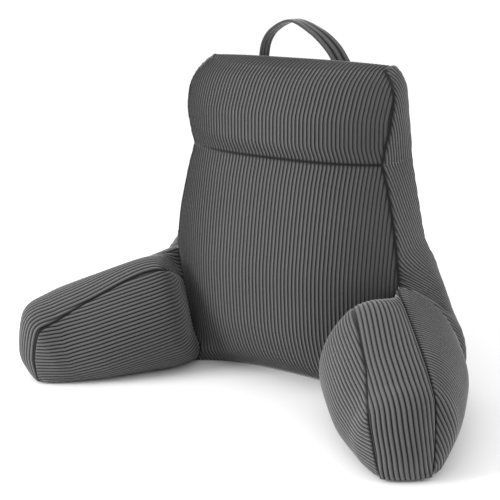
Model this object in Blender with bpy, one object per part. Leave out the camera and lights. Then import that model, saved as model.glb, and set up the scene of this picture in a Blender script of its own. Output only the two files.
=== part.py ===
"""A reading pillow with two arms: a filled wedge back with a head roll, two filled arms, a strap handle.

Metres, +Z up. The sitter faces -Y, the arms reach forward along -Y and splay outward.
The origin is on the floor in the middle of the object.
"""
import bpy
import bmesh
import math
import numpy as np
from mathutils import Matrix
from mathutils.bvhtree import BVHTree

# ---------------------------------------------------------------- driving sizes
SEAM_GAP = 0.0003          # space left between the filled pieces
STRAP_WIDTH = 0.026        # flat carrying strap
STRAP_THICK = 0.005
RIB_HEIGHT = 0.0018        # the cloth's wide ribs, from valley to ridge
FRONT_RIBS = 56            # ribs across the front panel and the head roll
SIDE_RIBS = 16             # ribs from the rear edge to the front edge of a side
STRIP_RIBS = 13            # ribs along the strip that runs over an arm
INNER_RIBS = 20            # ribs along the inner flank of an arm
ARM_STATIONS = 18          # sections along an arm
OUTER_SPLIT = 3            # outer flank columns to one section, for its upright ribs
FLANK_ROWS = 6             # faces from the strip's outer seam down to the floor
LOW_ROWS = 8               # rows of the front panel beside the arms
HIGH_ROWS = 5              # rows from the arms up to the cross seam
ROLL_ROWS = 7              # rows from the cross seam up to the top
TOP_ROWS = 4               # rows over the top
REAR_SPLIT = 4             # front columns to one column of the plain rear panel
STRAP_COUNT = 22           # sections along the strap
STRAP_CLEAR = 0.020        # ribs lie flat around a foot of the strap as far as this
STRAP_SEAT = 0.0006        # height of the strap's feet over the cloth that they stand on
FLOOR_FADE = 0.010         # ribs are pressed flat below this height
CROWN_POWER = 3.0          # how full a panel stays towards its side seams
SWELL_POWER = 1.1          # how round the outer flank of an arm is
BELLY = 0.36               # height of the inner flank's belly, as a part of the strip's height
BELLY_POWER = 2.1          # how round the inner flank is above its belly
ROOT_TOP_V = 1.5           # row of the front panel where the arm's top meets it
ROOT_BLEND = 0.25          # part of an arm over which its outline runs into the root
ARM_TURN_TIP = 0.649       # plan angle by which an arm splays outward
ARM_ROOT_X = 0.204         # place where the strip's outer seam meets the back
ARM_ROOT_Y = -0.032
ARM_ROOT_Z = 0.184
CENTRE_SHIFT = 0.0949      # from the tables' own zero to the middle of the object's depth

# Front panel and head roll, floor to top. edge_*: the side seam; mid_*: the middle of the panel.
FRONT_ROWS = [
    dict(v=0.00, edge_x=0.156, edge_y=-0.053, edge_z=0.000, mid_y=-0.014, mid_z=0.000),
    dict(v=0.30, edge_x=0.145, edge_y=-0.057, edge_z=0.026, mid_y=-0.051, mid_z=0.026),
    dict(v=0.60, edge_x=0.166, edge_y=-0.048, edge_z=0.056, mid_y=-0.073, mid_z=0.055),
    dict(v=1.00, edge_x=0.185, edge_y=-0.040, edge_z=0.110, mid_y=-0.091, mid_z=0.108),
    dict(v=1.50, edge_x=0.204, edge_y=-0.032, edge_z=0.184, mid_y=-0.096, mid_z=0.182),
    dict(v=2.30, edge_x=0.199, edge_y=-0.034, edge_z=0.241, mid_y=-0.091, mid_z=0.239),
    dict(v=3.00, edge_x=0.181, edge_y=-0.031, edge_z=0.328, mid_y=-0.076, mid_z=0.328),
    dict(v=3.20, edge_x=0.169, edge_y=-0.029, edge_z=0.367, mid_y=-0.064, mid_z=0.366),
    dict(v=3.50, edge_x=0.175, edge_y=-0.032, edge_z=0.396, mid_y=-0.079, mid_z=0.396),
    dict(v=3.80, edge_x=0.181, edge_y=-0.031, edge_z=0.425, mid_y=-0.079, mid_z=0.427),
    dict(v=4.20, edge_x=0.182, edge_y=-0.025, edge_z=0.455, mid_y=-0.069, mid_z=0.456),
    dict(v=4.65, edge_x=0.173, edge_y=-0.014, edge_z=0.484, mid_y=-0.051, mid_z=0.485),
    dict(v=5.00, edge_x=0.153, edge_y=0.000, edge_z=0.502, mid_y=-0.029, mid_z=0.501),
]
CROSS_SEAM_V = 3.20

# Rear panel, floor to top, matched row by row with the heights of the front edge.
REAR_ROWS = [
    dict(v=0.00, edge_x=0.190, edge_y=0.074, edge_z=0.000, mid_y=0.083, mid_z=0.000),
    dict(v=0.60, edge_x=0.216, edge_y=0.085, edge_z=0.056, mid_y=0.100, mid_z=0.056),
    dict(v=1.50, edge_x=0.212, edge_y=0.087, edge_z=0.184, mid_y=0.100, mid_z=0.184),
    dict(v=2.30, edge_x=0.191, edge_y=0.082, edge_z=0.241, mid_y=0.096, mid_z=0.241),
    dict(v=3.00, edge_x=0.182, edge_y=0.066, edge_z=0.319, mid_y=0.088, mid_z=0.319),
    dict(v=3.20, edge_x=0.177, edge_y=0.056, edge_z=0.367, mid_y=0.083, mid_z=0.367),
    dict(v=3.60, edge_x=0.178, edge_y=0.048, edge_z=0.393, mid_y=0.080, mid_z=0.393),
    dict(v=4.20, edge_x=0.175, edge_y=0.040, edge_z=0.440, mid_y=0.074, mid_z=0.440),
    dict(v=4.65, edge_x=0.172, edge_y=0.037, edge_z=0.474, mid_y=0.067, mid_z=0.474),
    dict(v=5.00, edge_x=0.160, edge_y=0.034, edge_z=0.500, mid_y=0.056, mid_z=0.497),
]
TOP_ARCH_MID = 0.012       # rise of the top between the front and the rear, in the middle
TOP_ARCH_EDGE = 0.007      # the same at a side
SIDE_BULGE_LOW = 0.022     # fullness of a side below the arm's top
SIDE_BULGE_HIGH = 0.004    # and of the nearly flat side above it
HIGH_V = 2.1               # row above which a side is nearly flat

# An arm, root to tip. along: distance from the root; out_z, in_z: heights of the strip's two seams;
# strip: width of the strip; crown: its fullness; floor_*: where the flanks reach the floor;
# swell_*: fullness of the flanks; turn: plan angle of the section.
ARM_ROWS = [
    dict(k=0.00, along=0.000, out_z=0.184, in_z=0.134, strip=0.019, crown=0.000, floor_along=0.000,
         floor_out=0.044, floor_in=-0.052, swell_out=0.072, swell_in=0.016, turn=0.404),
    dict(k=0.20, along=0.066, out_z=0.165, in_z=0.172, strip=0.077, crown=0.014, floor_along=0.060,
         floor_out=0.036, floor_in=-0.051, swell_out=0.071, swell_in=0.060, turn=0.551),
    dict(k=0.42, along=0.168, out_z=0.143, in_z=0.134, strip=0.077, crown=0.013, floor_along=0.146,
         floor_out=0.020, floor_in=-0.060, swell_out=0.055, swell_in=0.049, turn=0.649),
    dict(k=0.58, along=0.220, out_z=0.127, in_z=0.110, strip=0.082, crown=0.014, floor_along=0.196,
         floor_out=0.008, floor_in=-0.065, swell_out=0.041, swell_in=0.030, turn=0.649),
    dict(k=0.72, along=0.253, out_z=0.107, in_z=0.093, strip=0.086, crown=0.017, floor_along=0.217,
         floor_out=0.000, floor_in=-0.067, swell_out=0.032, swell_in=0.019, turn=0.649),
    dict(k=0.86, along=0.260, out_z=0.048, in_z=0.050, strip=0.079, crown=0.016, floor_along=0.237,
         floor_out=0.003, floor_in=-0.067, swell_out=0.012, swell_in=0.007, turn=0.649),
    dict(k=1.00, along=0.256, out_z=0.006, in_z=0.006, strip=0.069, crown=0.004, floor_along=0.246,
         floor_out=-0.016, floor_in=-0.061, swell_out=0.000, swell_in=0.000, turn=0.649),
]

# The strap, left foot to right foot, seen from the front. twist: plan angle of its width.
STRAP_ROWS = [
    dict(k=0.00, x=-0.077, y=0.034, z=0.507, twist=0.00),
    dict(k=0.12, x=-0.069, y=0.029, z=0.528, twist=0.02),
    dict(k=0.28, x=-0.050, y=0.024, z=0.551, twist=0.06),
    dict(k=0.48, x=-0.013, y=0.020, z=0.566, twist=0.18),
    dict(k=0.68, x=0.024, y=0.023, z=0.551, twist=0.50),
    dict(k=0.87, x=0.052, y=0.029, z=0.526, twist=0.68),
    dict(k=1.00, x=0.067, y=0.034, z=0.507, twist=0.74),
]
# Half of the strap's section, from its front edge to its rear edge: three ridges along its length.
STRAP_SECTION = [
    dict(wide=-1.00, thick=0.40),
    dict(wide=-0.67, thick=1.00),
    dict(wide=-0.33, thick=0.65),
    dict(wide=0.00, thick=1.00),
    dict(wide=0.33, thick=0.65),
    dict(wide=0.67, thick=1.00),
    dict(wide=1.00, thick=0.40),
]


# ---------------------------------------------------------------- smooth tables
def read_rows(rows, key, column, at):
    """Value of one column of a table at any key, on a smooth curve through its rows."""
    keys = np.array([row[key] for row in rows], float)
    vals = np.array([row[column] for row in rows], float)
    at = np.clip(np.asarray(at, float), keys[0], keys[-1])
    rise = np.diff(vals) / np.diff(keys)
    step = np.diff(keys)
    slope = np.empty_like(vals)
    slope[0] = rise[0]
    slope[-1] = rise[-1]
    same_way = rise[:-1] * rise[1:] > 0
    before = np.where(same_way, rise[:-1], 1.0)
    after = np.where(same_way, rise[1:], 1.0)
    by_before = step[:-1] + 2 * step[1:]
    by_after = 2 * step[:-1] + step[1:]
    mean = (by_before + by_after) / (by_before / before + by_after / after)
    slope[1:-1] = np.where(same_way, mean, 0.0)
    i = np.clip(np.searchsorted(keys, at, side="right") - 1, 0, len(keys) - 2)
    h = step[i]
    t = (at - keys[i]) / h
    start = (2 * t ** 3 - 3 * t ** 2 + 1) * vals[i] + (t ** 3 - 2 * t ** 2 + t) * h * slope[i]
    end = (3 * t ** 2 - 2 * t ** 3) * vals[i + 1] + (t ** 3 - t ** 2) * h * slope[i + 1]
    return start + end


def read_split(rows, key, column, at, corner):
    """The same, with a crease at one key, where a seam lies."""
    at = np.asarray(at, float)
    below = [row for row in rows if row[key] <= corner + 1e-9]
    above = [row for row in rows if row[key] >= corner - 1e-9]
    low = read_rows(below, key, column, np.minimum(at, corner))
    high = read_rows(above, key, column, np.maximum(at, corner))
    return np.where(at <= corner, low, high)


# ---------------------------------------------------------------- panels of the back
def crown(u):
    return 1.0 - np.abs(u) ** CROWN_POWER


def back_levels():
    """Rows of the back, from the floor to the cross seam and from there to the top."""
    low = np.linspace(0.0, ROOT_TOP_V, LOW_ROWS + 1)
    high = np.linspace(ROOT_TOP_V, CROSS_SEAM_V, HIGH_ROWS + 1)[1:]
    roll = np.linspace(CROSS_SEAM_V, 5.0, ROLL_ROWS + 1)
    return np.concatenate([low, high]), roll


def panel_edge(rows, v):
    """Right side seam of a panel. The front one lies in the arm's root face below the arm's top."""
    x, y, z = [read_split(rows, "v", n, v, CROSS_SEAM_V) for n in ("edge_x", "edge_y", "edge_z")]
    if rows is FRONT_ROWS:
        on_root = ARM_ROOT_Y + (x - ARM_ROOT_X) * math.tan(ARM_ROWS[0]["turn"])
        y = np.where(v <= ROOT_TOP_V, on_root, y)
    return np.stack([x, y, z], -1)


def across_panel(rows, v, u):
    """Grid of points of a panel that spans from the left side seam to the right one."""
    edge = panel_edge(rows, v)[:, None, :]
    mid_y, mid_z = [read_split(rows, "v", n, v, CROSS_SEAM_V)[:, None] for n in ("mid_y", "mid_z")]
    full = crown(u)[None, :]
    x = edge[..., 0] * u[None, :]
    y = edge[..., 1] + (mid_y - edge[..., 1]) * full
    z = edge[..., 2] + (mid_z - edge[..., 2]) * full
    return np.stack([x, y, z], -1)


def top_panel(front_top, rear_top, u, count):
    """The head roll's cover where it passes over the top, from front to rear."""
    a = np.linspace(0.0, 1.0, count + 1)[:, None]
    pts = front_top[None] * (1 - a[..., None]) + rear_top[None] * a[..., None]
    rise = TOP_ARCH_EDGE + (TOP_ARCH_MID - TOP_ARCH_EDGE) * crown(u)[None, :]
    pts[..., 2] += np.sin(np.pi * a) * rise
    return pts


def root_direction():
    turn = ARM_ROWS[0]["turn"]
    return np.array([math.cos(turn), math.sin(turn)])


def shoulder_edge(z):
    """Outer edge of the face where the arm meets the back, at a height."""
    part = np.clip(z / ARM_ROOT_Z, 0.0, 1.0)
    angle = np.arccos(2 * part - 1)
    reach = ARM_ROWS[0]["floor_out"] * (1 - part) + ARM_ROWS[0]["swell_out"] * np.sin(angle) ** SWELL_POWER
    d = root_direction()
    return np.stack([ARM_ROOT_X + reach * d[0], ARM_ROOT_Y + reach * d[1], z], -1)


def side_panel(v, count):
    """One side of the back, from its rear edge to its front seam or to the shoulder."""
    front = panel_edge(FRONT_ROWS, v)
    rear = panel_edge(REAR_ROWS, v)
    below = (v < ROOT_TOP_V)[:, None]
    edge = np.where(below, shoulder_edge(front[:, 2]), front)
    t = np.linspace(0.0, 1.0, count + 1)[None, :, None]
    pts = rear[:, None, :] * (1 - t) + edge[:, None, :] * t
    bulge = np.interp(v, [ROOT_TOP_V - 0.6, HIGH_V], [SIDE_BULGE_LOW, SIDE_BULGE_HIGH])
    pts[..., 0] += bulge[:, None] * 4 * t[..., 0] * (1 - t[..., 0])
    lift = np.clip((v - 4.2) / 0.8, 0.0, 1.0) ** 2
    pts[..., 2] += lift[:, None] * np.sin(np.pi * t[..., 0]) * TOP_ARCH_EDGE
    return pts


# ---------------------------------------------------------------- panels of an arm
def arm_frame(k):
    """Station values of the right arm."""
    names = [n for n in ARM_ROWS[0] if n != "k"]
    st = {n: read_rows(ARM_ROWS, "k", n, k) for n in names}
    st["dir"] = np.array([math.sin(ARM_TURN_TIP), -math.cos(ARM_TURN_TIP)])
    st["lat"] = np.stack([np.cos(st["turn"]), np.sin(st["turn"])], -1)
    return st


def arm_points(st, along, across, z):
    pts = np.empty(along.shape + (3,))
    for c, root in enumerate((ARM_ROOT_X, ARM_ROOT_Y)):
        pts[..., c] = root + along * st["dir"][c] + across * st["lat"][:, None, c]
    pts[..., 2] = z
    return pts


def root_inset(z):
    """Distance from the root line's outer end to the front panel's seam, at a height."""
    edge = panel_edge(FRONT_ROWS, np.linspace(0.0, ROOT_TOP_V, LOW_ROWS + 1))
    inset = (ARM_ROOT_X - edge[:, 0]) / root_direction()[0]
    return np.interp(z, edge[:, 2], inset)


def match_root(k, across, z):
    """Near the root the arm's inner outline runs into the seam of the front panel."""
    fade = np.clip(1 - k / ROOT_BLEND, 0.0, 1.0)[:, None] ** 2
    return across + fade * (-root_inset(z[:1]) - across[:1])


def arm_strip(k, count):
    """The strip over the arm, down its front end to the floor: outer seam first."""
    st = arm_frame(k)
    w = np.linspace(0.0, 1.0, count + 1)[None, :]
    fine = np.linspace(0.0, 1.0, 101)
    rise = np.interp(k, fine, np.gradient(read_rows(ARM_ROWS, "k", "out_z", fine), fine))
    run = np.interp(k, fine, np.gradient(read_rows(ARM_ROWS, "k", "along", fine), fine))
    size = np.hypot(rise, run)
    puff = st["crown"][:, None] * 4 * w * (1 - w)
    up = (run / size)[:, None] * puff
    fore = (-rise / size)[:, None] * puff
    z = st["out_z"][:, None] * (1 - w) + st["in_z"][:, None] * w + up
    across = match_root(k, -st["strip"][:, None] * w, z)
    return arm_points(st, st["along"][:, None] + fore, across, z)


def belly(fall):
    """Outline of the inner flank's sagging belly, from 0 at the strip over 1 to 0 at the floor."""
    above = np.clip((1 - fall - BELLY) / (1 - BELLY), 0.0, 1.0)
    below = np.clip((BELLY - 1 + fall) / BELLY, 0.0, 1.0)
    return (1 - above ** BELLY_POWER) * np.sqrt(1 - below ** 2)


def arm_flank(k, count, inner):
    """A flank of the arm, from a strip seam down to the floor."""
    st = arm_frame(k)
    a = np.linspace(0.0, 1.0, count + 1)[None, :]
    fall = (1 - np.cos(np.pi * a)) / 2
    if inner:
        top_q, top_z = -st["strip"], st["in_z"]
        low_q, swell = st["floor_in"], -st["swell_in"]
        full = belly(fall)
    else:
        top_q, top_z = 0 * k, st["out_z"]
        low_q, swell = st["floor_out"], st["swell_out"]
        full = np.sin(np.pi * a) ** SWELL_POWER
    z = top_z[:, None] * (1 - fall)
    across = top_q[:, None] * (1 - fall) + low_q[:, None] * fall + swell[:, None] * full
    if inner:
        across = match_root(k, across, z)
    along = st["along"][:, None] * (1 - fall) + st["floor_along"][:, None] * fall
    return arm_points(st, along, across, z)


# ---------------------------------------------------------------- ribs
def outward(pts, towards):
    """Unit normals of a grid of points, turned to the side where the part ends."""
    rows = np.gradient(pts, axis=0)
    cols = np.gradient(pts, axis=1)
    n = np.cross(rows, cols)
    n /= np.maximum(np.linalg.norm(n, axis=2, keepdims=True), 1e-9)
    if (n * np.array(towards)).sum() < 0:
        n = -n
    return n


def raise_ribs(pts, axis, towards, keep=None):
    """Lift every second line of a panel along its normal; the panel's edges stay on the seams."""
    n = outward(pts, towards)
    gap = np.linalg.norm(np.gradient(pts, axis=axis), axis=2)
    lift = np.minimum(RIB_HEIGHT, 0.4 * gap)
    odd = np.arange(pts.shape[axis]) % 2
    lift = lift * (odd[None, :] if axis == 1 else odd[:, None])
    lift *= np.clip(pts[..., 2] / FLOOR_FADE, 0.0, 1.0)
    lift[0, :] = 0.0
    lift[-1, :] = 0.0
    lift[:, 0] = 0.0
    lift[:, -1] = 0.0
    if keep is not None:
        lift = lift * keep
    return pts + n * lift[..., None]


def flat_by_strap(pts):
    """0 around the feet of the strap, 1 away from them."""
    keep = np.ones(pts.shape[:2])
    for row in (STRAP_ROWS[0], STRAP_ROWS[-1]):
        far = np.hypot(pts[..., 0] - row["x"], pts[..., 1] - row["y"])
        keep *= np.clip(far / STRAP_CLEAR - 0.6, 0.0, 1.0)
    return keep


# ---------------------------------------------------------------- meshes
def add_face(bm, points):
    verts = [bm.verts.new(tuple(p)) for p in points]
    return bm.faces.new(verts)


def add_grid(bm, pts):
    for i in range(pts.shape[0] - 1):
        for j in range(pts.shape[1] - 1):
            add_face(bm, [pts[i, j], pts[i + 1, j], pts[i + 1, j + 1], pts[i, j + 1]])


def add_band(bm, coarse, fine):
    """Faces between a line of points and a line with a whole number of points more to each."""
    ratio = (len(fine) - 1) // (len(coarse) - 1)
    for i in range(len(coarse) - 1):
        far = list(fine[ratio * i:ratio * (i + 1) + 1])
        add_face(bm, [coarse[i + 1], coarse[i]] + far)


def finish_piece(bm, name, colour, roughness):
    bmesh.ops.remove_doubles(bm, verts=bm.verts, dist=3e-5)
    bmesh.ops.dissolve_degenerate(bm, edges=bm.edges, dist=1e-6)
    bmesh.ops.recalc_face_normals(bm, faces=bm.faces)
    mesh = bpy.data.meshes.new(name)
    bm.to_mesh(mesh)
    bm.free()
    for poly in mesh.polygons:
        poly.use_smooth = True
    piece = bpy.data.objects.new(name, mesh)
    bpy.context.scene.collection.objects.link(piece)
    mat = bpy.data.materials.new(name + "_cloth")
    mat.use_nodes = True
    shader = mat.node_tree.nodes["Principled BSDF"]
    shader.inputs["Base Color"].default_value = colour
    shader.inputs["Roughness"].default_value = roughness
    shader.inputs["Metallic"].default_value = 0.0
    mesh.materials.append(mat)
    return piece


def mirrored(pts):
    return pts * np.array([-1.0, 1.0, 1.0])


def build_back():
    """Wedge back and head roll: one filled body with a sewn channel across its front."""
    low_v, roll_v = back_levels()
    all_v = np.concatenate([low_v, roll_v[1:]])
    u = np.linspace(-1.0, 1.0, 2 * FRONT_RIBS + 1)
    front = across_panel(FRONT_ROWS, low_v, u)
    roll = across_panel(FRONT_ROWS, roll_v, u)
    rear = across_panel(REAR_ROWS, all_v, u)
    top = top_panel(roll[-1], rear[-1], u, TOP_ROWS)
    side = side_panel(all_v, 2 * SIDE_RIBS)
    cover = np.concatenate([roll, top[1:]])

    beside_arms = np.ones(front.shape[:2])
    beside_arms[:LOW_ROWS + 2, [1, -2]] = 0.0

    bm = bmesh.new()
    add_grid(bm, raise_ribs(front, 1, (0, -1, 0), beside_arms))
    ribbed = raise_ribs(cover, 1, (0, -1, 1), flat_by_strap(cover))
    last = len(roll_v) - 1
    add_grid(bm, ribbed[:last + 1])
    add_grid(bm, ribbed[last:, 1:-1])
    back = rear[::-1, ::REAR_SPLIT]
    add_grid(bm, back[1:])
    add_band(bm, back[1], ribbed[-1])
    for turn in (np.array, mirrored):
        skin = raise_ribs(side, 1, (1, 0, 0))
        add_grid(bm, turn(skin))
        end = ribbed[last:, -2] if turn is np.array else mirrored(ribbed[last:, 1])
        add_band(bm, turn(end[::-1]), turn(skin[-1]))
        face = np.stack([front[:LOW_ROWS + 1, -1], skin[:LOW_ROWS + 1, -1]], 1)
        add_grid(bm, turn(face))
    right = list(side[0, ::-1])
    left = [mirrored(p) for p in side[0]]
    add_face(bm, list(front[0]) + right + list(back[-1, ::-1])[1:-1] + left)
    return finish_piece(bm, "back", (0.060, 0.060, 0.062, 1.0), 0.92)


def build_arm(name, turn):
    """One filled arm: strip over the top and down the front, inner and outer flank, flat under."""
    k = np.linspace(0.0, 1.0, ARM_STATIONS + 1)
    fine = np.linspace(0.0, 1.0, ARM_STATIONS * OUTER_SPLIT + 1)
    strip = raise_ribs(arm_strip(k, 2 * STRIP_RIBS), 1, (0, -1, 1))
    inner = raise_ribs(arm_flank(k, 2 * INNER_RIBS, True), 1, (-1, -0.5, 0))
    outer = raise_ribs(arm_flank(fine, FLANK_ROWS, False), 0, (1, 0.5, 0))
    across = root_direction()
    off_root = SEAM_GAP * np.array([across[1], -across[0], 0.0])
    strip, inner, outer = [turn(pts + off_root) for pts in (strip, inner, outer)]

    bm = bmesh.new()
    add_grid(bm, strip[:, 1:])
    add_band(bm, strip[:, 1], outer[:, 0])
    add_grid(bm, inner)
    add_grid(bm, outer)
    add_band(bm, inner[:, -1], outer[:, -1])
    for end in (0, -1):
        add_face(bm, list(strip[end]) + list(inner[end, 1:]) + list(outer[end, :0:-1]))
    return finish_piece(bm, name, (0.060, 0.060, 0.062, 1.0), 0.92)


def build_handle(back):
    """A flat strap of the same cloth, whose feet stand on the top of the head roll."""
    k = np.linspace(0.0, 1.0, STRAP_COUNT + 1)
    path = np.stack([read_rows(STRAP_ROWS, "k", n, k) for n in ("x", "y", "z")], -1)
    along = np.gradient(path, axis=0)
    along /= np.linalg.norm(along, axis=1, keepdims=True)
    twist = read_rows(STRAP_ROWS, "k", "twist", k)
    wide = np.stack([np.sin(twist), np.cos(twist), 0 * twist], -1)
    wide -= along * (wide * along).sum(axis=1, keepdims=True)
    wide *= STRAP_WIDTH / 2 / np.linalg.norm(wide, axis=1, keepdims=True)
    thick = np.cross(along, wide)
    thick *= STRAP_THICK / 2 / np.linalg.norm(thick, axis=1, keepdims=True)
    outer = np.stack([path + wide * row["wide"] + thick * row["thick"] for row in STRAP_SECTION], 1)
    inner = np.stack([path + wide * row["wide"] - thick * row["thick"] for row in STRAP_SECTION], 1)
    probe = bmesh.new()
    probe.from_mesh(back.data)
    tree = BVHTree.FromBMesh(probe)
    for face in (outer, inner):
        for s, line in enumerate(face):
            for point in line:
                hit = tree.ray_cast((point[0], point[1], 1.0), (0.0, 0.0, -1.0))[0]
                seat = hit[2] + STRAP_SEAT
                point[2] = seat if s in (0, STRAP_COUNT) else max(point[2], seat)
    probe.free()
    bm = bmesh.new()
    add_grid(bm, outer)
    add_grid(bm, inner)
    for edge in (0, -1):
        add_grid(bm, np.stack([outer[:, edge], inner[:, edge]], 1))
        add_grid(bm, np.stack([outer[edge], inner[edge]], 1))
    return finish_piece(bm, "handle", (0.055, 0.055, 0.057, 1.0), 0.9)


def clear_scene():
    for thing in list(bpy.data.objects):
        bpy.data.objects.remove(thing, do_unlink=True)


def centre_depth(pieces):
    """Move the finished pieces so that the origin lies in the middle of the object's depth."""
    for piece in pieces:
        piece.data.transform(Matrix.Translation((0.0, CENTRE_SHIFT, 0.0)))


clear_scene()
back_piece = build_back()
arms = [build_arm("arm_right", np.array), build_arm("arm_left", mirrored)]
strap = build_handle(back_piece)
centre_depth([back_piece, strap] + arms)
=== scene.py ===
# %% [markdown]
# # A reading pillow in wide-rib corduroy
# The pillow is a wedge-shaped back with a head roll and two arms that reach forward, filled tight and
# sewn from one dark grey corduroy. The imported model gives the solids. This file dresses them: every
# panel of cloth is laid out so that its ribs run as they do on the sewn pillow.

# %% Load the frame
import math
import bmesh
import bpy
import numpy as np
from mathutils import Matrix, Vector


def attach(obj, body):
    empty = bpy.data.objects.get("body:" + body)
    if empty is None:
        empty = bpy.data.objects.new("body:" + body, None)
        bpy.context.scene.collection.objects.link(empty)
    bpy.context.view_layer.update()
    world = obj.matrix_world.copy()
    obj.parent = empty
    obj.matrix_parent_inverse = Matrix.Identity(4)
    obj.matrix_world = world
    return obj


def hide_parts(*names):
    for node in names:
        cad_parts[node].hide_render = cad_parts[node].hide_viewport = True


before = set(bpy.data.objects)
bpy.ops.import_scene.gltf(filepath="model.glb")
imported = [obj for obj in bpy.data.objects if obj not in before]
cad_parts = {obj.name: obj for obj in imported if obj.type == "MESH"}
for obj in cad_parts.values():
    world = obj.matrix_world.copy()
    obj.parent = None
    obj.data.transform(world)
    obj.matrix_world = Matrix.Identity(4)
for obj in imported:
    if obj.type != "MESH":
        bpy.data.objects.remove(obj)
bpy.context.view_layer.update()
print("solids:", sorted(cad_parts))

# %% [markdown]
# ## Camera
# A long lens from the front right, a little above the arms. The whole pillow fills the square frame.

# %% Camera
VIEW_TURN = math.radians(33.1)
VIEW_RISE = math.radians(15.7)
VIEW_RANGE = 1.665
VIEW_TARGET = Vector((0.0036, -0.0346, 0.2364))
LENS_MM = 79.7
SENSOR_MM = 36.0


def make_camera():
    away = Vector((math.sin(VIEW_TURN) * math.cos(VIEW_RISE),
                   -math.cos(VIEW_TURN) * math.cos(VIEW_RISE),
                   math.sin(VIEW_RISE)))
    data = bpy.data.cameras.new("camera")
    data.lens = LENS_MM
    data.sensor_width = SENSOR_MM
    camera = bpy.data.objects.new("camera", data)
    camera.location = VIEW_TARGET + away * VIEW_RANGE
    camera.rotation_euler = away.to_track_quat("Z", "Y").to_euler()
    bpy.context.scene.collection.objects.link(camera)
    bpy.context.scene.camera = camera
    return camera


print("camera at", tuple(round(c, 3) for c in make_camera().location))

# %% [markdown]
# ## The cloth's own sizes
# Wide-rib corduroy has round ridges of pile with a narrow valley between. Everything that repeats on this
# pillow repeats at the rib's pitch, so the pitch is the first size to fix.

# %% Sizes of the cloth
RIB_PITCH = 0.0064
RIB_HEIGHT = 0.0024
RIB_STEPS = 6              # faces across one rib
RIB_ROUNDNESS = 0.62       # lower is a flatter ridge with a narrower valley
SEAM_REACH = 0.0024        # the cloth dives into a seam over this distance
PUFF = 0.0007              # fullness of the cloth beside a seam
FLOOR_REACH = 0.012        # cloth is pressed smooth near the floor
SAMPLES = 361              # fine samples across a panel before the ribs are laid
CENTRE_SHIFT = 0.0949      # from the tables' own zero to the middle of the object's depth

# %% [markdown]
# ## Sections of the filled body
# The same sections as the solids: the front panel and the rear panel from floor to top, and an arm from
# root to tip. A smooth curve through each column gives every height between.

# %% Sections of the back
FRONT_ROWS = [
    dict(v=0.00, edge_x=0.156, edge_y=-0.053, edge_z=0.000, mid_y=-0.014, mid_z=0.000),
    dict(v=0.30, edge_x=0.145, edge_y=-0.057, edge_z=0.026, mid_y=-0.051, mid_z=0.026),
    dict(v=0.60, edge_x=0.166, edge_y=-0.048, edge_z=0.056, mid_y=-0.073, mid_z=0.055),
    dict(v=1.00, edge_x=0.185, edge_y=-0.040, edge_z=0.110, mid_y=-0.091, mid_z=0.108),
    dict(v=1.50, edge_x=0.204, edge_y=-0.032, edge_z=0.184, mid_y=-0.096, mid_z=0.182),
    dict(v=2.30, edge_x=0.199, edge_y=-0.034, edge_z=0.241, mid_y=-0.091, mid_z=0.239),
    dict(v=3.00, edge_x=0.181, edge_y=-0.031, edge_z=0.328, mid_y=-0.076, mid_z=0.328),
    dict(v=3.20, edge_x=0.169, edge_y=-0.029, edge_z=0.367, mid_y=-0.064, mid_z=0.366),
    dict(v=3.50, edge_x=0.175, edge_y=-0.032, edge_z=0.396, mid_y=-0.079, mid_z=0.396),
    dict(v=3.80, edge_x=0.181, edge_y=-0.031, edge_z=0.425, mid_y=-0.079, mid_z=0.427),
    dict(v=4.20, edge_x=0.182, edge_y=-0.025, edge_z=0.455, mid_y=-0.069, mid_z=0.456),
    dict(v=4.65, edge_x=0.173, edge_y=-0.014, edge_z=0.484, mid_y=-0.051, mid_z=0.485),
    dict(v=5.00, edge_x=0.153, edge_y=0.000, edge_z=0.502, mid_y=-0.029, mid_z=0.501),
]
REAR_ROWS = [
    dict(v=0.00, edge_x=0.190, edge_y=0.074, edge_z=0.000, mid_y=0.083, mid_z=0.000),
    dict(v=0.60, edge_x=0.216, edge_y=0.085, edge_z=0.056, mid_y=0.100, mid_z=0.056),
    dict(v=1.50, edge_x=0.212, edge_y=0.087, edge_z=0.184, mid_y=0.100, mid_z=0.184),
    dict(v=2.30, edge_x=0.191, edge_y=0.082, edge_z=0.241, mid_y=0.096, mid_z=0.241),
    dict(v=3.00, edge_x=0.182, edge_y=0.066, edge_z=0.319, mid_y=0.088, mid_z=0.319),
    dict(v=3.20, edge_x=0.177, edge_y=0.056, edge_z=0.367, mid_y=0.083, mid_z=0.367),
    dict(v=3.60, edge_x=0.178, edge_y=0.048, edge_z=0.393, mid_y=0.080, mid_z=0.393),
    dict(v=4.20, edge_x=0.175, edge_y=0.040, edge_z=0.440, mid_y=0.074, mid_z=0.440),
    dict(v=4.65, edge_x=0.172, edge_y=0.037, edge_z=0.474, mid_y=0.067, mid_z=0.474),
    dict(v=5.00, edge_x=0.160, edge_y=0.034, edge_z=0.500, mid_y=0.056, mid_z=0.497),
]
ROOT_V = 1.5               # row where an arm's top meets the back
CROSS_V = 3.2              # row of the cross seam under the head roll
TOP_V = 5.0                # row where the roll's front passes into the top
CROWN_POWER = 3.0
TOP_ARCH_MID = 0.012
TOP_ARCH_EDGE = 0.007
SIDE_BULGE_LOW = 0.022     # fullness of a side below the arm's top
SIDE_BULGE_HIGH = 0.004    # and of the nearly flat side above it
HIGH_V = 2.1

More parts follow.
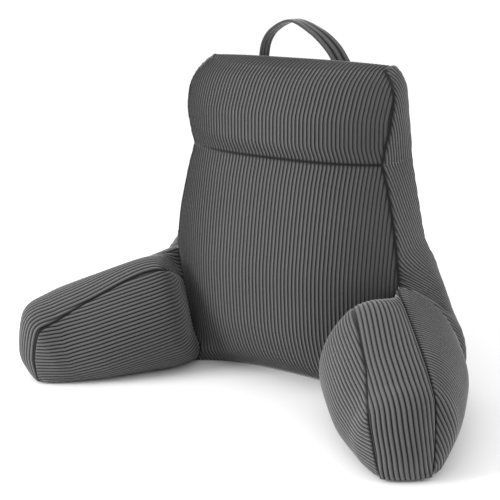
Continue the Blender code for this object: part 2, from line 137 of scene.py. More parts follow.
# %% Sections of an arm
ARM_ROWS = [
    dict(k=0.00, along=0.000, out_z=0.184, in_z=0.134, strip=0.019, crown=0.000, floor_along=0.000,
         floor_out=0.044, floor_in=-0.052, swell_out=0.072, swell_in=0.016, turn=0.404),
    dict(k=0.20, along=0.066, out_z=0.165, in_z=0.172, strip=0.077, crown=0.014, floor_along=0.060,
         floor_out=0.036, floor_in=-0.051, swell_out=0.071, swell_in=0.060, turn=0.551),
    dict(k=0.42, along=0.168, out_z=0.143, in_z=0.134, strip=0.077, crown=0.013, floor_along=0.146,
         floor_out=0.020, floor_in=-0.060, swell_out=0.055, swell_in=0.049, turn=0.649),
    dict(k=0.58, along=0.220, out_z=0.127, in_z=0.110, strip=0.082, crown=0.014, floor_along=0.196,
         floor_out=0.008, floor_in=-0.065, swell_out=0.041, swell_in=0.030, turn=0.649),
    dict(k=0.72, along=0.253, out_z=0.107, in_z=0.093, strip=0.086, crown=0.017, floor_along=0.217,
         floor_out=0.000, floor_in=-0.067, swell_out=0.032, swell_in=0.019, turn=0.649),
    dict(k=0.86, along=0.260, out_z=0.048, in_z=0.050, strip=0.079, crown=0.016, floor_along=0.237,
         floor_out=0.003, floor_in=-0.067, swell_out=0.012, swell_in=0.007, turn=0.649),
    dict(k=1.00, along=0.256, out_z=0.006, in_z=0.006, strip=0.069, crown=0.004, floor_along=0.246,
         floor_out=-0.016, floor_in=-0.061, swell_out=0.000, swell_in=0.000, turn=0.649),
]
ARM_ROOT = np.array([0.204, -0.032, 0.184])
ARM_TURN_TIP = 0.649
SWELL_POWER = 1.1
BELLY = 0.36               # height of the inner flank's belly, as a part of the strip's height
BELLY_POWER = 2.1
ROOT_BLEND = 0.25

# %% Smooth curves through the sections


def read_rows(rows, key, column, at):
    """Value of a column at any key, on a smooth curve through the rows."""
    keys = np.array([row[key] for row in rows], float)
    vals = np.array([row[column] for row in rows], float)
    at = np.clip(np.asarray(at, float), keys[0], keys[-1])
    rise = np.diff(vals) / np.diff(keys)
    step = np.diff(keys)
    slope = np.empty_like(vals)
    slope[0] = rise[0]
    slope[-1] = rise[-1]
    same_way = rise[:-1] * rise[1:] > 0
    before = np.where(same_way, rise[:-1], 1.0)
    after = np.where(same_way, rise[1:], 1.0)
    by_before = step[:-1] + 2 * step[1:]
    by_after = 2 * step[:-1] + step[1:]
    mean = (by_before + by_after) / (by_before / before + by_after / after)
    slope[1:-1] = np.where(same_way, mean, 0.0)
    i = np.clip(np.searchsorted(keys, at, side="right") - 1, 0, len(keys) - 2)
    h = step[i]
    t = (at - keys[i]) / h
    start = (2 * t ** 3 - 3 * t ** 2 + 1) * vals[i] + (t ** 3 - 2 * t ** 2 + t) * h * slope[i]
    end = (3 * t ** 2 - 2 * t ** 3) * vals[i + 1] + (t ** 3 - t ** 2) * h * slope[i + 1]
    return start + end


def read_split(rows, column, v):
    """The same up the back, with a crease at the cross seam."""
    v = np.asarray(v, float)
    low = read_rows([row for row in rows if row["v"] <= CROSS_V], "v", column, np.minimum(v, CROSS_V))
    high = read_rows([row for row in rows if row["v"] >= CROSS_V], "v", column, np.maximum(v, CROSS_V))
    return np.where(v <= CROSS_V, low, high)


# %% [markdown]
# ## Surfaces of the back
# Each panel is a function from two numbers to a place in space. The front and the rear panel are crowned:
# full in the middle, drawn in at the side seams. A side runs from the rear seam to the front seam, and
# below the arm's top to the shoulder, where the arm's outer flank takes over.

# %% Panels of the back


def crown(u):
    return 1.0 - np.abs(u) ** CROWN_POWER


def panel_edge(rows, v):
    x, y, z = [read_split(rows, name, v) for name in ("edge_x", "edge_y", "edge_z")]
    if rows is FRONT_ROWS:
        on_root = ARM_ROOT[1] + (x - ARM_ROOT[0]) * math.tan(ARM_ROWS[0]["turn"])
        y = np.where(v <= ROOT_V, on_root, y)
    return np.stack([x, y, z], -1)


def across_panel(rows, v, u):
    edge = panel_edge(rows, v)[:, None, :]
    mid_y, mid_z = [read_split(rows, name, v)[:, None] for name in ("mid_y", "mid_z")]
    full = crown(u)[None, :]
    x = edge[..., 0] * u[None, :]
    y = edge[..., 1] + (mid_y - edge[..., 1]) * full
    z = edge[..., 2] + (mid_z - edge[..., 2]) * full
    return np.stack([x, y, z], -1)


def top_panel(front_top, rear_top, u, a):
    """The roll's cover over the top, with the fullness of the sides at its two ends."""
    a = a[:, None]
    pts = front_top[None] * (1 - a[..., None]) + rear_top[None] * a[..., None]
    pts[..., 0] += SIDE_BULGE_HIGH * 4 * a * (1 - a) * u[None, :]
    pts[..., 2] += np.sin(np.pi * a) * (TOP_ARCH_EDGE + (TOP_ARCH_MID - TOP_ARCH_EDGE) * crown(u)[None, :])
    return pts


def root_direction():
    turn = ARM_ROWS[0]["turn"]
    return np.array([math.cos(turn), math.sin(turn)])


def shoulder_edge(z):
    """The line where the back's side passes into the arm's outer flank, at a height."""
    part = np.clip(z / ARM_ROOT[2], 0.0, 1.0)
    angle = np.arccos(2 * part - 1)
    reach = ARM_ROWS[0]["floor_out"] * (1 - part) + ARM_ROWS[0]["swell_out"] * np.sin(angle) ** SWELL_POWER
    d = root_direction()
    return np.stack([ARM_ROOT[0] + reach * d[0], ARM_ROOT[1] + reach * d[1], z], -1)


def side_points(v, t):
    front = panel_edge(FRONT_ROWS, v)
    rear = panel_edge(REAR_ROWS, v)
    edge = np.where((v < ROOT_V)[..., None], shoulder_edge(front[..., 2]), front)
    pts = rear + (edge - rear) * t[..., None]
    bulge = np.interp(v, [ROOT_V - 0.6, HIGH_V], [SIDE_BULGE_LOW, SIDE_BULGE_HIGH])
    pts[..., 0] += bulge * 4 * t * (1 - t)
    pts[..., 2] += np.clip((v - 4.2) / 0.8, 0.0, 1.0) ** 2 * np.sin(np.pi * t) * TOP_ARCH_EDGE
    return pts


HOLLOW_ROWS = 0.60         # rows over which the hollow above the arm is rounded
HOLLOW_FILL = 0.011        # and how far it is filled out
HOLLOW_V = ROOT_V - 0.05   # its middle row
HOLLOW_SPREAD = 0.55       # rows over which both fade


def side_panel(v, t):
    """The mean of nearby rows rounds the hollow above the arm; the two edges keep their place."""
    v, t = np.meshgrid(v, t, indexing="ij")
    here = np.exp(-((v - HOLLOW_V) / HOLLOW_SPREAD) ** 2) * 4 * t * (1 - t)
    soft = HOLLOW_ROWS * here
    pts = np.mean([side_points(v + soft * o, t) for o in np.linspace(-1.0, 1.0, 9)], axis=0)
    pts[..., 0] += HOLLOW_FILL * here
    return pts


# %% [markdown]
# ## Surfaces of an arm
# A strip runs over the top and down the front end, with a flank on each side. Both flanks swell out and
# come back in at the floor.

# %% Panels of an arm


def arm_frame(k):
    names = [name for name in ARM_ROWS[0] if name != "k"]
    st = {name: read_rows(ARM_ROWS, "k", name, k) for name in names}
    st["dir"] = np.array([math.sin(ARM_TURN_TIP), -math.cos(ARM_TURN_TIP)])
    st["lat"] = np.stack([np.cos(st["turn"]), np.sin(st["turn"])], -1)
    return st


def arm_points(st, along, across, z):
    pts = np.empty(along.shape + (3,))
    for c in (0, 1):
        pts[..., c] = ARM_ROOT[c] + along * st["dir"][c] + across * st["lat"][:, None, c]
    pts[..., 2] = z
    return pts


def match_root(k, across, z):
    """Near the root the arm's inner outline runs into the seam of the front panel."""
    edge = panel_edge(FRONT_ROWS, np.linspace(0.0, ROOT_V, 60))
    inset = np.interp(z[:1], edge[:, 2], (ARM_ROOT[0] - edge[:, 0]) / root_direction()[0])
    fade = np.clip(1 - k / ROOT_BLEND, 0.0, 1.0)[:, None] ** 2
    return across + fade * (-inset - across[:1])


def arm_strip(k, w):
    st = arm_frame(k)
    w = w[None, :]
    fine = np.linspace(0.0, 1.0, 201)
    rise = np.interp(k, fine, np.gradient(read_rows(ARM_ROWS, "k", "out_z", fine), fine))
    run = np.interp(k, fine, np.gradient(read_rows(ARM_ROWS, "k", "along", fine), fine))
    size = np.hypot(rise, run)
    puff = st["crown"][:, None] * 4 * w * (1 - w)
    up = (run / size)[:, None] * puff
    fore = (-rise / size)[:, None] * puff
    z = st["out_z"][:, None] * (1 - w) + st["in_z"][:, None] * w + up
    across = match_root(k, -st["strip"][:, None] * w, z)
    return arm_points(st, st["along"][:, None] + fore, across, z)


def belly(fall):
    """Outline of the inner flank's sagging belly, from 0 at the strip over 1 to 0 at the floor."""
    above = np.clip((1 - fall - BELLY) / (1 - BELLY), 0.0, 1.0)
    below = np.clip((BELLY - 1 + fall) / BELLY, 0.0, 1.0)
    return (1 - above ** BELLY_POWER) * np.sqrt(1 - below ** 2)


def arm_flank(k, a, inner):
    st = arm_frame(k)
    a = a[None, :]
    fall = (1 - np.cos(np.pi * a)) / 2
    if inner:
        top_q, top_z = -st["strip"], st["in_z"]
        low_q, swell = st["floor_in"], -st["swell_in"]
        full = belly(fall)
    else:
        top_q, top_z = 0 * k, st["out_z"]
        low_q, swell = st["floor_out"], st["swell_out"]
        full = np.sin(np.pi * a) ** SWELL_POWER
    z = top_z[:, None] * (1 - fall)
    across = top_q[:, None] * (1 - fall) + low_q[:, None] * fall + swell[:, None] * full
    if inner:
        across = match_root(k, across, z)
    along = st["along"][:, None] * (1 - fall) + st["floor_along"][:, None] * fall
    return arm_points(st, along, across, z)


# %% [markdown]
# ## Laying ribs on a panel
# Cloth doesn't stretch sideways much, so ribs keep their pitch and are cut off where a seam crosses them.
# Every panel therefore gets a rib number at each of its points. A column of the mesh follows one rib
# number, and where the panel is too narrow for it the column waits on the seam.

# %% Rib numbers and the mesh columns that follow them


def run_length(pts, axis):
    """Distance along the surface from the first row or column."""
    step = np.linalg.norm(np.diff(pts, axis=axis), axis=2)
    pad = [(1, 0), (0, 0)] if axis == 0 else [(0, 0), (1, 0)]
    return np.cumsum(np.pad(step, pad), axis=axis)


def unevenness(pts):
    """Slow waves of a filled cover that nobody sewed perfectly straight, from -1 to 1."""
    x, y, z = pts[..., 0], pts[..., 1], pts[..., 2]
    wave = np.sin(23 * x + 31 * z + 1.3) + np.sin(37 * y - 27 * z + 0.4) + np.sin(41 * x - 19 * y + 2.1)
    return wave / 3


def surface_normals(pts, towards):
    n = np.cross(np.gradient(pts, axis=0), np.gradient(pts, axis=1))
    n /= np.maximum(np.linalg.norm(n, axis=2, keepdims=True), 1e-12)
    return n if (n * np.array(towards)).sum() > 0 else -n


def lay_ribs(values, ribs, columns):
    """Values at the wanted rib numbers of each row; past the panel's edge they stay on the edge."""
    at = np.clip(columns[None, :], ribs[:, :1], ribs[:, -1:])
    out = np.empty(at.shape + (values.shape[2],))
    for i in range(len(values)):
        for c in range(values.shape[2]):
            out[i, :, c] = np.interp(at[i], ribs[i], values[i, :, c])
    return out, at


def ridge(rib):
    return np.abs(np.sin(np.pi * rib)) ** RIB_ROUNDNESS


def rib_columns(ribs):
    low = math.floor(ribs.min()) * RIB_STEPS
    high = math.ceil(ribs.max()) * RIB_STEPS
    return np.arange(low, high + 1) / RIB_STEPS


# %% [markdown]
# ## One panel of cloth
# A grid is the natural start for a panel. Its points are then moved to their places: out to the surface,
# up on a ridge or down in a valley, and into the seams at the edges, where the needle holds the cloth
# down. The rib number and the distance along the rib are kept as the panel's own UV map. How far the
# cloth has risen out of its seams is kept on each point, so that the material can paint shade into the
# seams.

# %% One panel of cloth


def seam_rise(gap, reach=SEAM_REACH):
    return 1.0 - np.exp(-(gap / reach) ** 2)


def panel_heights(placed, at, ribs, seams, unsewn):
    """Height of the cloth over the surface, length along the rib, and rise: 0 in a seam, 1 away from it."""
    along = run_length(placed, 0)
    gap = np.minimum(at - ribs[:, :1] + unsewn[0], ribs[:, -1:] - at + unsewn[1]) * RIB_PITCH
    rise = seam_rise(gap)
    for row in seams:
        rise = rise * seam_rise(np.abs(along - along[row][None, :]))
    height = rise * np.clip(placed[..., 2] / FLOOR_REACH, 0.0, 1.0) * (PUFF + RIB_HEIGHT * ridge(at))
    return height, along, rise


UNSEWN = 50.0              # ribs to the next seam where a panel's edge is only a fold between pieces


def cloth_panel(surface, ribs, towards, seams=(), unsewn=(0.0, 0.0)):
    """Points, rib numbers and lengths of one panel. unsewn: what to add at its left and right edge."""
    columns = rib_columns(ribs)
    placed, at = lay_ribs(surface, ribs, columns)
    normal = lay_ribs(surface_normals(surface, towards), ribs, columns)[0]
    normal /= np.linalg.norm(normal, axis=2, keepdims=True)
    height, along, rise = panel_heights(placed, at, ribs, seams, unsewn)
    points = placed + normal * height[..., None]
    points[..., 2] = np.maximum(points[..., 2], 0.0)
    return dict(points=points, rib=at, along=along, rise=rise)


def add_panel(bm, panel):
    """A grid moved onto the panel's points, with its UV map and its rise out of the seams."""
    places = panel["points"].reshape(-1, 3)
    rows, cols = panel["points"].shape[:2]
    rib, along, rise = [panel[name].ravel() for name in ("rib", "along", "rise")]
    sheet = bmesh.new()
    uv = sheet.loops.layers.uv.new("cloth")
    # the material also reads the rise to paint shade into the seams
    rise_layer = sheet.verts.layers.float.new("rise")
    made = bmesh.ops.create_grid(sheet, x_segments=cols - 1, y_segments=rows - 1, size=1.0)["verts"]
    for i, vert in enumerate(made):
        vert.co = places[i]
        vert[rise_layer] = rise[i]
        for loop in vert.link_loops:
            loop[uv].uv = (rib[i], along[i])
    mesh = bpy.data.meshes.new("panel")
    sheet.to_mesh(mesh)
    sheet.free()
    bm.from_mesh(mesh)
    bpy.data.meshes.remove(mesh)


def mirrored(panel):
    return dict(panel, points=panel["points"] * np.array([-1.0, 1.0, 1.0]))


# %% [markdown]
# ## Closing a body
# Panels that share a seam have the same points there, so merging the points sews them. What is left open
# is the underside, and the flat lids where two filled bodies press on each other. Those are filled, and
# their rims are kept sharp so that the ribs beside them stay clean.

# %% Closing a body
WELD = 2e-5


def snap_row(row, targets):
    """Moves the points of an edge onto the nearest points of the edge that it is sewn to."""
    far = np.linalg.norm(row[:, None, :] - targets[None, :, :], axis=2)
    return targets[far.argmin(axis=1)]


def add_lid(bm, loop):
    bm.faces.new([bm.verts.new(tuple(p)) for p in loop])


def close_body(bm, name):
    bmesh.ops.remove_doubles(bm, verts=bm.verts, dist=WELD)
    bmesh.ops.dissolve_degenerate(bm, edges=bm.edges, dist=1e-6)
    rims = [edge for edge in bm.edges if edge.is_boundary]
    bmesh.ops.holes_fill(bm, edges=rims, sides=0)
    lids = [face for face in bm.faces if len(face.verts) > 12]
    for face in lids:
        for edge in face.edges:
            edge.smooth = False
    bmesh.ops.triangulate(bm, faces=[face for face in bm.faces if len(face.verts) > 4])
    bmesh.ops.recalc_face_normals(bm, faces=bm.faces)
    bmesh.ops.translate(bm, verts=bm.verts, vec=(0.0, CENTRE_SHIFT, 0.0))
    open_edges = sum(not edge.is_manifold for edge in bm.edges)
    for face in bm.faces:
        face.smooth = True
    mesh = bpy.data.meshes.new(name)
    bm.to_mesh(mesh)
    bm.free()
    piece = bpy.data.objects.new(name, mesh)
    bpy.context.scene.collection.objects.link(piece)
    mesh.calc_loop_triangles()
    print(name, "triangles:", len(mesh.loop_triangles), "open edges:", open_edges)
    return piece


# %% [markdown]
# ## Rib numbers on each panel
# On the front and the rear they are counted from the middle. On a side they lean back as they go down,
# because the side is cut in one with the arm and its front edge is pulled straight. On the arm they run
# along the strip, along the inner flank, and over the outer flank from the strip down to the floor.

# %% Rib numbers
# pace: ribs crossed in one pitch toward the front seam; lean: ribs crossed in one pitch down
SIDE_ROWS = [
    dict(z=0.06, pace=1.30, lean=0.38),
    dict(z=0.12, pace=1.15, lean=0.38),
    dict(z=0.16, pace=1.01, lean=0.38),
    dict(z=0.20, pace=0.83, lean=0.38),
    dict(z=0.24, pace=0.80, lean=0.32),
    dict(z=0.28, pace=0.80, lean=0.27),
    dict(z=0.33, pace=0.87, lean=0.25),
    dict(z=0.38, pace=0.98, lean=0.25),
    dict(z=0.44, pace=0.90, lean=0.26),
    dict(z=0.52, pace=0.92, lean=0.25),
]
# An arm's outer flank. pace: ribs crossed in one pitch along the arm
FLANK_ROWS = [
    dict(along=0.000, pace=1.08),
    dict(along=0.130, pace=1.03),
    dict(along=0.200, pace=1.18),
    dict(along=0.255, pace=0.12),
]
TIP_FROM = 0.15            # distances along the arm between which the ribs turn with its front end
TIP_TO = 0.27
TIP_SIDE = 1.13            # ribs crossed there in one pitch across the arm
TIP_RISE = 0.51            # and in one pitch up
TIP_PIVOT = 0.117          # height at which they keep their number
RIB_WANDER = 0.10


def ribs_from_middle(pts):
    length = run_length(pts, 1)
    middle = length[:, SAMPLES // 2][:, None]
    return (length - middle) / RIB_PITCH + 0.5


def rising(ribs):
    """Rib numbers that never turn back along a row."""
    return np.maximum.accumulate(ribs + np.arange(ribs.shape[1]) * 1e-6, axis=1)


def side_ribs(pts):
    """Counted from the rear seam, on lines that lean back as they go down."""
    z = np.linspace(0.0, 0.54, 541)
    fall = np.cumsum(read_rows(SIDE_ROWS, "z", "lean", z)) * (z[1] - z[0])
    pace = read_rows(SIDE_ROWS, "z", "pace", pts[..., 2])
    down = fall[-1] - np.interp(pts[..., 2], z, fall)
    ribs = (run_length(pts, 1) * pace + down) / RIB_PITCH
    return rising(ribs + RIB_WANDER * unevenness(pts))


CORNER_RIB = float(side_ribs(side_panel(np.array([ROOT_V]), np.linspace(0.0, 1.0, SAMPLES)))[0, -1])


def flank_ribs(pts):
    """Counted along the arm, on upright planes across it that turn with the arm's front end."""
    turn = ARM_TURN_TIP
    from_root = pts[..., :2] - ARM_ROOT[:2]
    ahead = from_root @ np.array([math.sin(turn), -math.cos(turn)])
    aside = from_root @ np.array([math.cos(turn), math.sin(turn)])
    place = np.linspace(0.0, 0.32, 321)
    pace = read_rows(FLANK_ROWS, "along", "pace", place)
    travel = np.cumsum(pace) * (place[1] - place[0])
    count = np.where(ahead > 0, np.interp(ahead, place, travel), pace[0] * ahead)
    share = np.clip((ahead - TIP_FROM) / (TIP_TO - TIP_FROM), 0.0, 1.0)
    share = share * share * (3 - 2 * share)
    count = count - share * (TIP_SIDE * aside + TIP_RISE * (pts[..., 2] - TIP_PIVOT))
    return CORNER_RIB + count / RIB_PITCH


# cut: ribs of the strip that the outer seam has cut off so far, counted from the root
STRIP_CUTS = [
    dict(k=0.00, cut=0.0),
    dict(k=0.20, cut=1.9),
    dict(k=0.42, cut=2.0),
    dict(k=0.58, cut=2.3),
    dict(k=0.72, cut=2.4),
    dict(k=0.86, cut=3.6),
    dict(k=1.00, cut=5.6),
]
STRIP_PACE = 0.95          # the strip is stretched a little, so its ribs lie a little wider


def strip_ribs(pts, k):
    """Counted from the outer seam, which cuts off one rib after another."""
    cut = read_rows(STRIP_CUTS, "k", "cut", k)
    return run_length(pts, 1) * STRIP_PACE / RIB_PITCH + cut[:, None]


INNER_SPREAD = 0.92        # the inner flank is eased into its seams, so its ribs lie a little closer
INNER_RISE = 0.27          # slope of its ribs, up from the tip to the root
INNER_LEVEL = 0.225        # in front of this distance along the arm they are level
INNER_TOP = 0.060          # and behind this one they rise no further


def inner_ribs(pts, k):
    """Counted up and down from the belly's line, on ribs that rise towards the root."""
    length = run_length(pts, 1)
    st = arm_frame(k)
    middle = np.array([np.interp(BELLY * top, z[::-1], run[::-1])
                       for top, z, run in zip(st["in_z"], pts[..., 2], length)])
    behind = np.clip(INNER_LEVEL - st["along"], 0.0, INNER_LEVEL - INNER_TOP)
    climb = BELLY * st["in_z"] - INNER_RISE * behind
    ribs = (length - middle[:, None] - climb[:, None]) / (RIB_PITCH * INNER_SPREAD)
    return rising(ribs + RIB_WANDER * unevenness(pts))


# %% [markdown]
# ## The back
# Front, roll, top and rear are one run of cloth with its ribs up and down, so they are one grid. The two
# sides are sewn to it. Rows crowd together at the cross seam, where the cloth dives into the stitch.

# %% Rows of the back
LOW_COUNT = 26
MID_COUNT = 26
ROLL_COUNT = 26
TOP_COUNT = 16


def crowded(start, stop, count, ends):
    """Numbers from start to stop that crowd towards the first end, the last end or both."""
    q = np.linspace(0.0, 1.0, count + 1)
    if ends == "both":
        q = (1 - np.cos(np.pi * q)) / 2
    elif ends == "last":
        q = np.sin(np.pi / 2 * q)
    elif ends == "first":
        q = 1 - np.cos(np.pi / 2 * q)
    return start + (stop - start) * q


def back_rows():
    low = crowded(0.0, ROOT_V, LOW_COUNT, "both")
    mid = crowded(ROOT_V, CROSS_V, MID_COUNT, "last")
    roll = crowded(CROSS_V, TOP_V, ROLL_COUNT, "first")
    return np.concatenate([low, mid[1:], roll[1:]]), LOW_COUNT, LOW_COUNT + MID_COUNT


# %% The back's cover


def build_back():
    v, root_row, cross_row = back_rows()
    u = np.linspace(-1.0, 1.0, SAMPLES)
    t = np.linspace(0.0, 1.0, SAMPLES)
    front = across_panel(FRONT_ROWS, v, u)
    rear = across_panel(REAR_ROWS, v, u)[::-1]
    top = top_panel(front[-1], rear[0], u, np.linspace(0.0, 1.0, TOP_COUNT + 1))
    wrap = np.concatenate([front, top[1:-1], rear])
    ribs = ribs_from_middle(wrap)
    last = len(v) - 1
    rear_top = last + TOP_COUNT
    main = cloth_panel(wrap, ribs, (0, -1, 0), seams=(cross_row, rear_top))
    surface = side_panel(v, t)
    beside_arm = np.where(v < ROOT_V - 1e-6, UNSEWN, 0.0)[:, None]
    side = cloth_panel(surface, side_ribs(surface), (1, 0, 0), (last,), (0.0, beside_arm))
    side["points"][-1] = snap_row(side["points"][-1], main["points"][last:rear_top + 1, -1])

    bm = bmesh.new()
    add_panel(bm, main)
    for turn in (dict, mirrored):
        panel = turn(side)
        add_panel(bm, panel)
        edge = main["points"][:root_row + 1, -1 if turn is dict else 0]
        add_lid(bm, list(edge) + list(panel["points"][:root_row + 1, -1][::-1])[1:])
    return close_body(bm, "back_cover")


back_cover = build_back()

# %% [markdown]
# ## The arms
# The strip comes first, because both flanks are sewn to it. The outer flank takes its first rib number
# from the back's side, so that the ribs run on from the back to the arm as on the one piece of cloth.

# %% The arms' covers
ARM_STATIONS = 130
FLANK_COUNT = 34
ROOT_CARRY = 0.50          # part of the arm over which the shoulder's ribs settle into planes


def outer_ribs(pts, k):
    """pts has a row for each height on the flank and a column for each station along the arm."""
    shoulder = side_panel(crowded(0.0, ROOT_V, 80, "both"), np.linspace(0.0, 1.0, SAMPLES))
    here = flank_ribs(pts)
    wanted = np.interp(pts[:, 0, 2], shoulder[:, -1, 2], side_ribs(shoulder)[:, -1])
    fade = np.clip(1 - k / ROOT_CARRY, 0.0, 1.0) ** 2
    return rising(here + (wanted - here[:, 0])[:, None] * fade[None, :])


def build_arm(name, turn):
    k = crowded(0.0, 1.0, ARM_STATIONS, "last") * 0.5 + np.linspace(0.0, 1.0, ARM_STATIONS + 1) * 0.5
    across = np.linspace(0.0, 1.0, SAMPLES)
    strip_surface = arm_strip(k, across)
    strip = cloth_panel(strip_surface, strip_ribs(strip_surface, k), (0, -1, 1))
    inner_surface = arm_flank(k, across, True)
    inner = cloth_panel(inner_surface, inner_ribs(inner_surface, k), (-1, -0.5, 0), seams=(0,))
    a = crowded(0.0, 1.0, FLANK_COUNT, "first")
    fine_k = np.linspace(0.0, 1.0, SAMPLES)
    outer_surface = arm_flank(fine_k, a, False).transpose(1, 0, 2)
    numbers = outer_ribs(outer_surface, fine_k)
    outer = cloth_panel(outer_surface, numbers, (1, 0.5, 0), (0,), (UNSEWN, 0.0))
    outer["points"][0] = snap_row(outer["points"][0], strip["points"][:, 0])

    strip, inner, outer = turn(strip), turn(inner), turn(outer)
    bm = bmesh.new()
    for panel in (strip, inner, outer):
        add_panel(bm, panel)
    root = list(strip["points"][0]) + list(inner["points"][0, 1:]) + list(outer["points"][1:, 0][::-1])
    add_lid(bm, root)
    return close_body(bm, name)


arm_right = build_arm("arm_cover_right", dict)
arm_left = build_arm("arm_cover_left", mirrored)

# %% [markdown]
# ## The strap
# A folded band of the same cloth with three ribs along it. Its section is drawn once and carried along
# the arch. The two feet run a few millimetres into the roll's cover, so that no gap shows under them.

# %% The strap
STRAP_ROWS = [
    dict(k=0.00, x=-0.077, y=0.034, z=0.501, twist=0.00),
    dict(k=0.12, x=-0.069, y=0.029, z=0.528, twist=0.02),
    dict(k=0.28, x=-0.050, y=0.024, z=0.551, twist=0.06),
    dict(k=0.48, x=-0.013, y=0.020, z=0.566, twist=0.18),
    dict(k=0.68, x=0.024, y=0.023, z=0.551, twist=0.50),
    dict(k=0.87, x=0.052, y=0.029, z=0.526, twist=0.68),
    dict(k=1.00, x=0.067, y=0.034, z=0.501, twist=0.74),
]
STRAP_WIDTH = 0.026
STRAP_THICK = 0.0052
STRAP_RIDGES = 3
STRAP_STATIONS = 90
STRAP_AROUND = 72


def strap_section(q):
    """Across and through the band, once around, for q from 0 to 1."""
    angle = 2 * np.pi * q
    side = np.cos(angle)
    across = np.sign(side) * np.abs(side) ** 0.6
    through = np.sign(np.sin(angle)) * np.abs(np.sin(angle)) ** 0.35
    ribs = 0.5 + across * STRAP_RIDGES / 2 * 0.88
    bump = 0.66 + 0.34 * ridge(ribs)
    return across * STRAP_WIDTH / 2, through * bump * STRAP_THICK / 2, ribs


def build_strap():
    k = np.linspace(0.0, 1.0, STRAP_STATIONS + 1)
    path = np.stack([read_rows(STRAP_ROWS, "k", name, k) for name in ("x", "y", "z")], -1)
    along = np.gradient(path, axis=0)
    along /= np.linalg.norm(along, axis=1, keepdims=True)
    twist = read_rows(STRAP_ROWS, "k", "twist", k)
    wide = np.stack([np.sin(twist), np.cos(twist), 0 * twist], -1)
    wide -= along * (wide * along).sum(axis=1, keepdims=True)
    wide /= np.linalg.norm(wide, axis=1, keepdims=True)
    thick = np.cross(along, wide)
    across, through, ribs = strap_section(np.linspace(0.0, 1.0, STRAP_AROUND + 1))
    points = (path[:, None, :] + wide[:, None, :] * across[None, :, None]
              + thick[:, None, :] * through[None, :, None])
    points[:, -1] = points[:, 0]
    length = np.repeat(run_length(points, 0)[:, :1], len(across), 1)
    ribs = np.repeat(ribs[None, :], len(k), 0)
    bm = bmesh.new()
    add_panel(bm, dict(points=points, rib=ribs, along=length, rise=np.ones_like(ribs)))
    return close_body(bm, "strap_cover")


strap = build_strap()

# %% [markdown]
# ## Corduroy
# The colour carries painted light: a painted highlight on the ridges and painted shade in the valleys and
# seams, so the colour follows the rib number and the rise. Fine noise gives the nap, stretched noise gives
# the brushed look, and sheen lifts the grazing edges as on all velvets.

# %% Corduroy
# Painted light: the ridge colour is a painted highlight on the pile, the valley colour painted shade in the
# valleys and seams
RIDGE_HIGHLIGHT_COLOUR = (0.098, 0.098, 0.100, 1.0)
VALLEY_SHADE_COLOUR = (0.006, 0.006, 0.0065, 1.0)
VALLEY_SHADE_TONE = 0.15         # tones below this are as dark as a valley
STREAK_ACROSS = 5.0        # brushed streaks: how often they change across a rib
STREAK_ALONG = 160.0       # and in a metre along it
STREAK_AMOUNT = 0.35
NAP_SCALE = 1100.0         # specks of the pile in a metre
NAP_AMOUNT = 0.45
NAP_DEPTH = 0.0006
CLOUD_SCALE = 9.0          # wide light and dark patches in a metre
CLOUD_AMOUNT = 0.20


def add_node(tree, kind, **settings):
    node = tree.nodes.new(kind)
    for name, value in settings.items():
        setattr(node, name, value)
    return node


def add_math(tree, operation, first, second=None):
    node = add_node(tree, "ShaderNodeMath", operation=operation)
    for socket, value in zip(node.inputs, (first, second)):
        if hasattr(value, "links"):
            tree.links.new(value, socket)
        elif value is not None:
            socket.default_value = value
    return node.outputs[0]


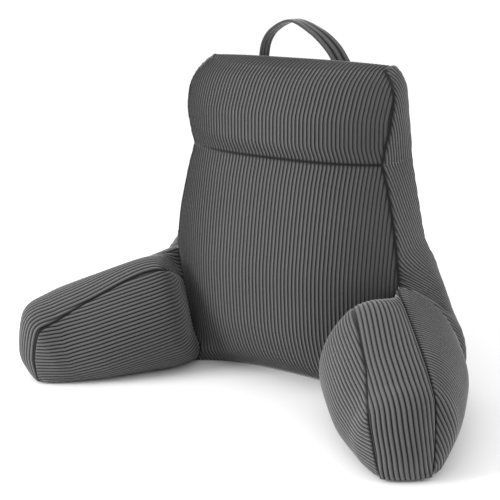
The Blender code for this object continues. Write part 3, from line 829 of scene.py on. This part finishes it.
def make_corduroy(name, ridge_highlight_colour, valley_shade_colour):
    mat = bpy.data.materials.new(name)
    mat.use_nodes = True
    tree = mat.node_tree
    shader = tree.nodes["Principled BSDF"]
    uv = add_node(tree, "ShaderNodeUVMap", uv_map="cloth")
    parts = add_node(tree, "ShaderNodeSeparateXYZ")
    tree.links.new(uv.outputs[0], parts.inputs[0])
    # painted light from the rib number: light on the ridges as a painted highlight, dark in the valleys as
    # painted shade
    wave = add_math(tree, "SINE", add_math(tree, "MULTIPLY", parts.outputs["X"], math.pi))
    painted_rib_light = add_math(tree, "ABSOLUTE", wave)

    streak_at = add_node(tree, "ShaderNodeCombineXYZ")
    tree.links.new(add_math(tree, "MULTIPLY", parts.outputs["X"], STREAK_ACROSS), streak_at.inputs["X"])
    tree.links.new(add_math(tree, "MULTIPLY", parts.outputs["Y"], STREAK_ALONG), streak_at.inputs["Y"])
    streak = add_node(tree, "ShaderNodeTexNoise")
    streak.inputs["Scale"].default_value = 1.0
    streak.inputs["Detail"].default_value = 3.0
    tree.links.new(streak_at.outputs[0], streak.inputs["Vector"])

    place = add_node(tree, "ShaderNodeTexCoord")
    nap = add_node(tree, "ShaderNodeTexNoise")
    nap.inputs["Scale"].default_value = NAP_SCALE
    nap.inputs["Detail"].default_value = 2.0
    tree.links.new(place.outputs["Object"], nap.inputs["Vector"])
    cloud = add_node(tree, "ShaderNodeTexNoise")
    cloud.inputs["Scale"].default_value = CLOUD_SCALE
    cloud.inputs["Detail"].default_value = 2.0
    tree.links.new(place.outputs["Object"], cloud.inputs["Vector"])

    uneven = add_math(tree, "MULTIPLY", add_math(tree, "SUBTRACT", streak.outputs[0], 0.5), STREAK_AMOUNT)
    speck = add_math(tree, "MULTIPLY", add_math(tree, "SUBTRACT", nap.outputs[0], 0.5), NAP_AMOUNT)
    drift = add_math(tree, "MULTIPLY", add_math(tree, "SUBTRACT", cloud.outputs[0], 0.5), CLOUD_AMOUNT)
    lift = add_math(tree, "ADD", add_math(tree, "ADD", uneven, speck), drift)
    # painted shade: the rise falls to 0 in the seams, so the colour darkens there as shade
    rise = add_node(tree, "ShaderNodeAttribute", attribute_name="rise")
    lit = add_math(tree, "MULTIPLY", painted_rib_light, rise.outputs["Fac"])
    tone = add_math(tree, "MULTIPLY", lit, add_math(tree, "ADD", lift, 1.0))
    # the ramp turns the tone into the painted highlight and painted shade colours
    ramp = add_node(tree, "ShaderNodeValToRGB")
    ramp.color_ramp.elements[0].position = VALLEY_SHADE_TONE
    ramp.color_ramp.elements[0].color = valley_shade_colour
    ramp.color_ramp.elements[1].position = 1.0
    ramp.color_ramp.elements[1].color = ridge_highlight_colour
    tree.links.new(tone, ramp.inputs[0])
    tree.links.new(ramp.outputs[0], shader.inputs["Base Color"])

    bump = add_node(tree, "ShaderNodeBump")
    bump.inputs["Strength"].default_value = 0.5
    bump.inputs["Distance"].default_value = NAP_DEPTH
    tree.links.new(nap.outputs[0], bump.inputs["Height"])
    tree.links.new(bump.outputs[0], shader.inputs["Normal"])
    shader.inputs["Roughness"].default_value = 0.95
    shader.inputs["Specular IOR Level"].default_value = 0.15
    shader.inputs["Sheen Weight"].default_value = 0.55
    shader.inputs["Sheen Roughness"].default_value = 0.40
    return mat


cover_cloth = make_corduroy("cover_corduroy", RIDGE_HIGHLIGHT_COLOUR, VALLEY_SHADE_COLOUR)
strap_cloth = make_corduroy("strap_corduroy", RIDGE_HIGHLIGHT_COLOUR, VALLEY_SHADE_COLOUR)

# %% [markdown]
# ## Handing the pieces to the frame
# Every cover rides on the one body and stands for the solid beneath it.

# %% Ride and replace
for piece, node, cloth, slot in (
    (back_cover, "back", cover_cloth, "cover_cloth"),
    (arm_right, "arm_right", cover_cloth, "cover_cloth"),
    (arm_left, "arm_left", cover_cloth, "cover_cloth"),
    (strap, "handle", strap_cloth, "strap_cloth"),
):
    piece.data.materials.append(cloth)
    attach(piece, "root")
    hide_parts(node)

# %% [markdown]
# ## Floor and light
# A white sweep, a soft key light from the front left, a weak fill from the right, and wide light from
# above that keeps the sweep white and the shadow soft.

# %% Floor and light
FLOOR_SIZE = 30.0


def make_floor():
    bm = bmesh.new()
    bmesh.ops.create_grid(bm, x_segments=1, y_segments=1, size=FLOOR_SIZE / 2)
    mesh = bpy.data.meshes.new("floor")
    bm.to_mesh(mesh)
    bm.free()
    floor = bpy.data.objects.new("floor", mesh)
    bpy.context.scene.collection.objects.link(floor)
    mat = bpy.data.materials.new("floor_paint")
    mat.use_nodes = True
    shader = mat.node_tree.nodes["Principled BSDF"]
    shader.inputs["Base Color"].default_value = (0.93, 0.93, 0.93, 1.0)
    shader.inputs["Roughness"].default_value = 1.0
    shader.inputs["Specular IOR Level"].default_value = 0.0
    mesh.materials.append(mat)
    return floor


def make_lamp(name, place, size, power):
    data = bpy.data.lights.new(name, "AREA")
    data.shape = "SQUARE"
    data.size = size
    data.energy = power
    lamp = bpy.data.objects.new(name, data)
    lamp.location = place
    lamp.rotation_euler = (Vector(place) - VIEW_TARGET).to_track_quat("Z", "Y").to_euler()
    bpy.context.scene.collection.objects.link(lamp)
    return lamp


def make_sky(spread, strength):
    """Wide soft light from above, which keeps the sweep white."""
    data = bpy.data.lights.new("sky", "SUN")
    data.angle = math.radians(spread)
    data.energy = strength
    lamp = bpy.data.objects.new("sky", data)
    lamp.rotation_euler = Vector((-0.30, -0.25, 1.0)).to_track_quat("Z", "Y").to_euler()
    bpy.context.scene.collection.objects.link(lamp)
    return lamp


make_floor()
make_lamp("key", (-1.7, -2.3, 1.2), 1.2, 95.0)
make_lamp("fill", (2.4, 0.2, 1.2), 1.6, 20.0)
make_sky(120.0, 1.8)
bpy.context.scene.view_settings.view_transform = "Standard"
world = bpy.data.worlds.new("studio")
world.use_nodes = True
world.node_tree.nodes["Background"].inputs["Color"].default_value = (1.0, 1.0, 1.0, 1.0)
world.node_tree.nodes["Background"].inputs["Strength"].default_value = 0.55
bpy.context.scene.world = world
